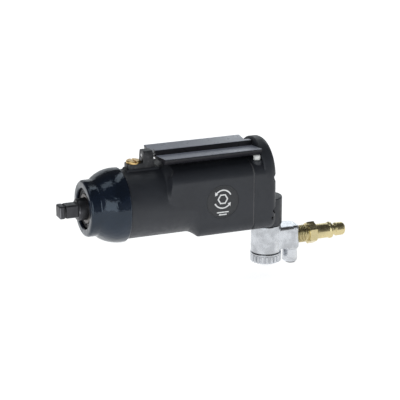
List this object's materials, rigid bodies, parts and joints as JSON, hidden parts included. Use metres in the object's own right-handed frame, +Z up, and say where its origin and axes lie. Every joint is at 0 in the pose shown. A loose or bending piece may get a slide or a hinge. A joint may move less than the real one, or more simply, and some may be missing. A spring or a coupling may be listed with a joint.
{
  "type": "impact wrench",
  "caption": "Palm-sized straight air impact wrench with a square drive, a rocking paddle throttle on top and a swivelling inlet elbow.",
  "frame": {"origin": "centre of the square drive's end face", "axes": "+X back along the drive axis, +Z up towards the paddle, the air inlet hangs towards -Z"},
  "size_m": [0.2264, 0.0546, 0.1008],
  "materials": {
    "painted_housing": "satin charcoal paint on cast aluminium",
    "boot_rubber": "glossy blue-black moulded vinyl",
    "paddle_alloy": "satin black anodised lever",
    "hardened_steel": "ground hardened steel",
    "drive_steel": "black phosphated steel with worn edges",
    "spring_steel": "drawn spring steel",
    "bearing_steel": "polished",
    "cast_aluminium": "satin cast aluminium",
    "dark_steel": "black oxide",
    "yellow_zinc": "yellow zinc plate",
    "nipple_brass": "machined brass",
    "bronze": "sintered bronze",
    "seal_rubber": "matte",
    "plunger_nylon": "white nylon",
    "gasket_fibre": "light grey gasket",
    "vane_composite": "phenolic laminate",
    "badge_plate": "satin charcoal disc"
  },
  "bodies": {
    "housing": {"anvil_bushing": "bronze", "bushing_retaining_ring": "dark_steel", "nose_boot": "boot_rubber", "hammer_case": "hardened_steel", "case_oring": "seal_rubber", "front_end_plate": "cast_aluminium", "front_bearing_outer_ring": "bearing_steel", "front_bearing_balls": "bearing_steel", "cylinder_liner": "hardened_steel", "liner_dowel": "hardened_steel", "rear_end_plate": "cast_aluminium", "rear_bearing_outer_ring": "bearing_steel", "rear_bearing_balls": "bearing_steel", "motor_housing": "painted_housing", "badge_disc": "badge_plate", "cover_gasket": "gasket_fibre", "rear_cover": "painted_housing", "roll_pin": "dark_steel", "cover_screws": "dark_steel", "lever_bracket": "dark_steel", "bracket_screw": "yellow_zinc", "bracket_dowel": "dark_steel", "paddle_rod": "hardened_steel", "valve_seats": "nipple_brass", "valve_balls": "bearing_steel", "ball_springs": "spring_steel", "plunger_spring_left": "spring_steel", "plunger_spring_right": "spring_steel"},
    "rotor": {"rotor": "hardened_steel", "rotor_vanes": "vane_composite", "front_bearing_inner_ring": "bearing_steel", "rear_bearing_inner_ring": "bearing_steel", "hammer_cage": "hardened_steel", "hammer_pin": "hardened_steel"},
    "anvil": {"anvil": "drive_steel", "friction_ring": "spring_steel", "thrust_washer": "hardened_steel"},
    "hammer_dog": {"hammer_dog": "hardened_steel"},
    "paddle": {"throttle_paddle": "paddle_alloy"},
    "plunger_left": {"plunger_left": "plunger_nylon"},
    "plunger_right": {"plunger_right": "plunger_nylon"},
    "elbow": {"swivel_elbow": "cast_aluminium", "swivel_stud": "hardened_steel", "stud_orings": "seal_rubber", "elbow_plug": "dark_steel", "air_nipple": "nipple_brass", "inlet_strainer": "nipple_brass", "detent_ball": "bearing_steel", "detent_spring": "spring_steel"},
    "knob": {"regulator_knob": "cast_aluminium", "regulator_spool": "nipple_brass", "spool_oring": "seal_rubber", "knob_screw": "dark_steel"}
  },
  "joints": [
    {"name": "rotor_spin", "type": "hinge", "parent": "housing", "child": "rotor", "pos_m": [0.09, 0, 0], "axis": [1, 0, 0], "continuous": true},
    {"name": "anvil_spin", "type": "hinge", "parent": "housing", "child": "anvil", "pos_m": [0.02, 0, 0], "axis": [1, 0, 0], "continuous": true},
    {"name": "hammer_dog_rock", "type": "hinge", "parent": "rotor", "child": "hammer_dog", "pos_m": [0.05, 0.0133, 0], "axis": [1, 0, 0], "range_deg": [-4, 4]},
    {"name": "paddle_rock", "type": "hinge", "parent": "housing", "child": "paddle", "pos_m": [0.11, 0, 0.035], "axis": [1, 0, 0], "range_deg": [-8, 8], "stiffness_Nm_per_rad": 0.5},
    {"name": "plunger_left_slide", "type": "slide", "parent": "housing", "child": "plunger_left", "axis": [0, 0, 1], "range_m": [-0.0025, 0.0025], "deforming": ["plunger_spring_left"]},
    {"name": "plunger_right_slide", "type": "slide", "parent": "housing", "child": "plunger_right", "axis": [0, 0, 1], "range_m": [-0.0025, 0.0025], "deforming": ["plunger_spring_right"]},
    {"name": "elbow_swivel", "type": "hinge", "parent": "housing", "child": "elbow", "pos_m": [0.1621, 0, -0.03], "axis": [0, 0, 1], "continuous": true},
    {"name": "regulator_turn", "type": "hinge", "parent": "elbow", "child": "knob", "pos_m": [0.1621, 0, -0.054], "axis": [0, 0, 1], "range_deg": [-90, 90]}
  ],
  "couplings": [
    {"joint": "anvil_spin", "follows": "rotor_spin", "ratio": 1},
    {"joint": "plunger_left_slide", "follows": "paddle_rock", "m_per_rad": -0.017},
    {"joint": "plunger_right_slide", "follows": "paddle_rock", "m_per_rad": 0.017}
  ]
}
